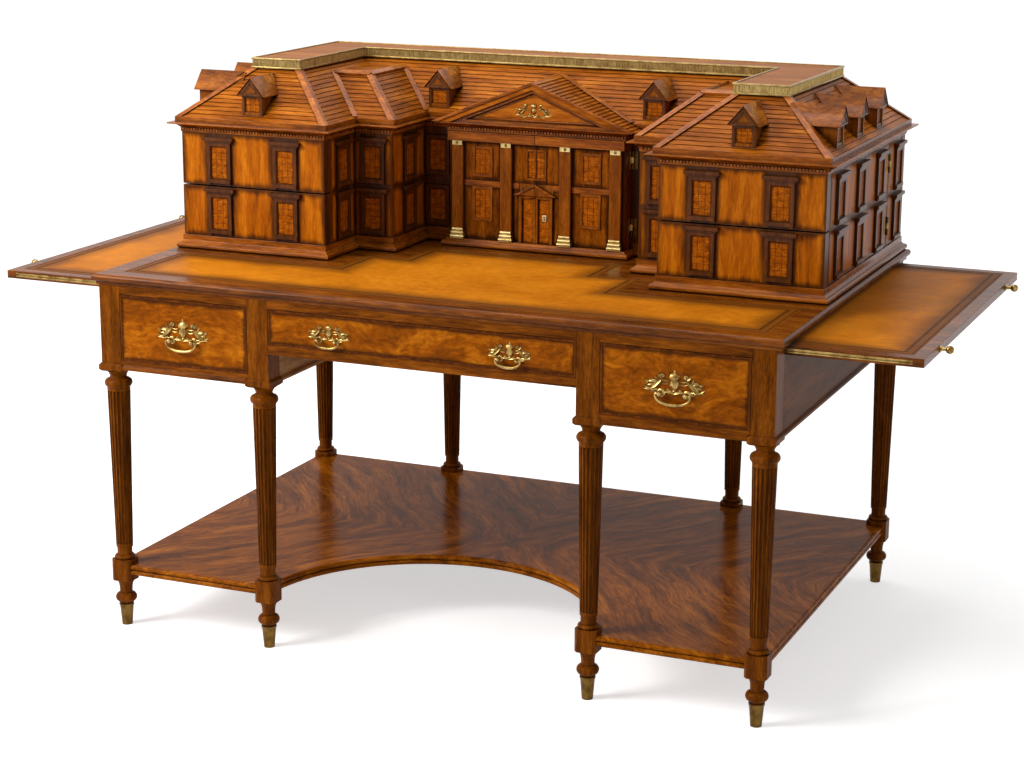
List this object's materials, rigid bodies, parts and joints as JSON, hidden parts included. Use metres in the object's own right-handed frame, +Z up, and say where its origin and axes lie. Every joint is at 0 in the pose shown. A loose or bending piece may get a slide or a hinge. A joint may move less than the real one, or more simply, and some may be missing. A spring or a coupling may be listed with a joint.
{
  "type": "writing desk",
  "caption": "Pedestal writing desk on fluted legs with an undertier, pull-out slides and a country-house superstructure whose wings, portico and sides are drawers and doors.",
  "frame": {"origin": "on the floor under the middle of the desk, slides pulled out", "axes": "+Z up, +X to the sitter's right, the sitter's side towards -Y"},
  "size_m": [2.056, 1.022, 1.195],
  "materials": {
    "mahogany": "polished dark mahogany",
    "flame_veneer": "polished golden flame veneer with shaded edges",
    "house_veneer": "polished golden veneer with burl window panes",
    "shelf_veneer": "polished quarter-matched flame veneer",
    "roof_boards": "lapped and polished boards",
    "drawer_wood": "plain satin wood",
    "brass": "softly aged",
    "leather": "tooled, shaded towards its edges"
  },
  "bodies": {
    "case": {"leg_front_left_outer": "mahogany", "leg_front_left_inner": "mahogany", "leg_front_right_outer": "mahogany", "leg_front_right_inner": "mahogany", "leg_back_left_outer": "mahogany", "leg_back_left_inner": "mahogany", "leg_back_right_outer": "mahogany", "leg_back_right_inner": "mahogany", "back_panel": "mahogany", "front_rails": "mahogany", "end_panel_left": "mahogany", "end_panel_right": "mahogany", "desk_top": "mahogany", "house_plinth": "mahogany", "house_cornice": "mahogany", "dormers": "mahogany", "fixed_windows": "mahogany", "portico_gable": "mahogany", "wing_carcass_left": "house_veneer", "wing_carcass_right": "house_veneer", "centre_carcass": "house_veneer", "undertier": "shelf_veneer", "house_roof": "roof_boards", "roof_ridges": "roof_boards", "roof_deck": "roof_boards", "case_interior": "drawer_wood", "pigeonhole_rack": "drawer_wood", "brass_sabots": "brass", "brass_gallery": "brass", "pediment_mount": "brass", "butt_hinges": "brass", "top_leather": "leather"},
    "left_drawer": {"drawer_left": "flame_veneer", "handle_plate_left": "brass"},
    "centre_drawer": {"drawer_centre": "flame_veneer", "handle_plates_centre": "brass"},
    "right_drawer": {"drawer_right": "flame_veneer", "handle_plate_right": "brass"},
    "left_bail": {"bail_left": "brass"},
    "centre_left_bail": {"bail_centre_left": "brass"},
    "left_slide": {"slide_left": "mahogany", "slide_leather_left": "leather", "slide_brass_left": "brass"},
    "left_portico_door": {"portico_door_left": "house_veneer", "portico_brass_left": "brass"},
    "left_side_door": {"side_door_left": "house_veneer", "side_door_hinges_left": "brass"},
    "left_wing_lower_drawer": {"wing_drawer_lower_left": "house_veneer"},
    "left_wing_upper_drawer": {"wing_drawer_upper_left": "house_veneer"},
    "right_bail": {"bail_right": "brass"},
    "centre_right_bail": {"bail_centre_right": "brass"},
    "right_slide": {"slide_right": "mahogany", "slide_leather_right": "leather", "slide_brass_right": "brass"},
    "right_portico_door": {"portico_door_right": "house_veneer", "portico_brass_right": "brass"},
    "right_side_door": {"side_door_right": "house_veneer", "side_door_hinges_right": "brass"},
    "right_wing_lower_drawer": {"wing_drawer_lower_right": "house_veneer"},
    "right_wing_upper_drawer": {"wing_drawer_upper_right": "house_veneer"}
  },
  "joints": [
    {"name": "left_drawer_slide", "type": "slide", "parent": "case", "child": "left_drawer", "axis": [0, -1, 0], "range_m": [0, 0.5]},
    {"name": "centre_drawer_slide", "type": "slide", "parent": "case", "child": "centre_drawer", "axis": [0, -1, 0], "range_m": [0, 0.5]},
    {"name": "right_drawer_slide", "type": "slide", "parent": "case", "child": "right_drawer", "axis": [0, -1, 0], "range_m": [0, 0.5]},
    {"name": "left_bail_swing", "type": "hinge", "parent": "left_drawer", "child": "left_bail", "pos_m": [-0.538, -0.504, 0.654], "axis": [-1, 0, 0], "range_deg": [0, 95]},
    {"name": "centre_left_bail_swing", "type": "hinge", "parent": "centre_drawer", "child": "centre_left_bail", "pos_m": [-0.198, -0.504, 0.688], "axis": [-1, 0, 0], "range_deg": [0, 95]},
    {"name": "left_writing_slide", "type": "slide", "parent": "case", "child": "left_slide", "axis": [-1, 0, 0], "range_m": [-0.25, 0]},
    {"name": "left_portico_hinge", "type": "hinge", "parent": "case", "child": "left_portico_door", "pos_m": [-0.2121, 0.1564, 0.918], "axis": [0, 0, -1], "range_deg": [0, 80]},
    {"name": "left_side_hinge", "type": "hinge", "parent": "case", "child": "left_side_door", "pos_m": [-0.7336, 0.343, 0.924], "axis": [0, 0, -1], "range_deg": [0, 95]},
    {"name": "left_wing_lower_slide", "type": "slide", "parent": "case", "child": "left_wing_lower_drawer", "axis": [0, -1, 0], "range_m": [0, 0.3]},
    {"name": "left_wing_upper_slide", "type": "slide", "parent": "case", "child": "left_wing_upper_drawer", "axis": [0, -1, 0], "range_m": [0, 0.3]},
    {"name": "right_bail_swing", "type": "hinge", "parent": "right_drawer", "child": "right_bail", "pos_m": [0.538, -0.504, 0.654], "axis": [-1, 0, 0], "range_deg": [0, 95]},
    {"name": "centre_right_bail_swing", "type": "hinge", "parent": "centre_drawer", "child": "centre_right_bail", "pos_m": [0.198, -0.504, 0.688], "axis": [-1, 0, 0], "range_deg": [0, 95]},
    {"name": "right_writing_slide", "type": "slide", "parent": "case", "child": "right_slide", "axis": [1, 0, 0], "range_m": [-0.25, 0]},
    {"name": "right_portico_hinge", "type": "hinge", "parent": "case", "child": "right_portico_door", "pos_m": [0.2121, 0.1564, 0.918], "axis": [0, 0, 1], "range_deg": [0, 80]},
    {"name": "right_side_hinge", "type": "hinge", "parent": "case", "child": "right_side_door", "pos_m": [0.7336, 0.343, 0.924], "axis": [0, 0, 1], "range_deg": [0, 95]},
    {"name": "right_wing_lower_slide", "type": "slide", "parent": "case", "child": "right_wing_lower_drawer", "axis": [0, -1, 0], "range_m": [0, 0.3]},
    {"name": "right_wing_upper_slide", "type": "slide", "parent": "case", "child": "right_wing_upper_drawer", "axis": [0, -1, 0], "range_m": [0, 0.3]}
  ]
}
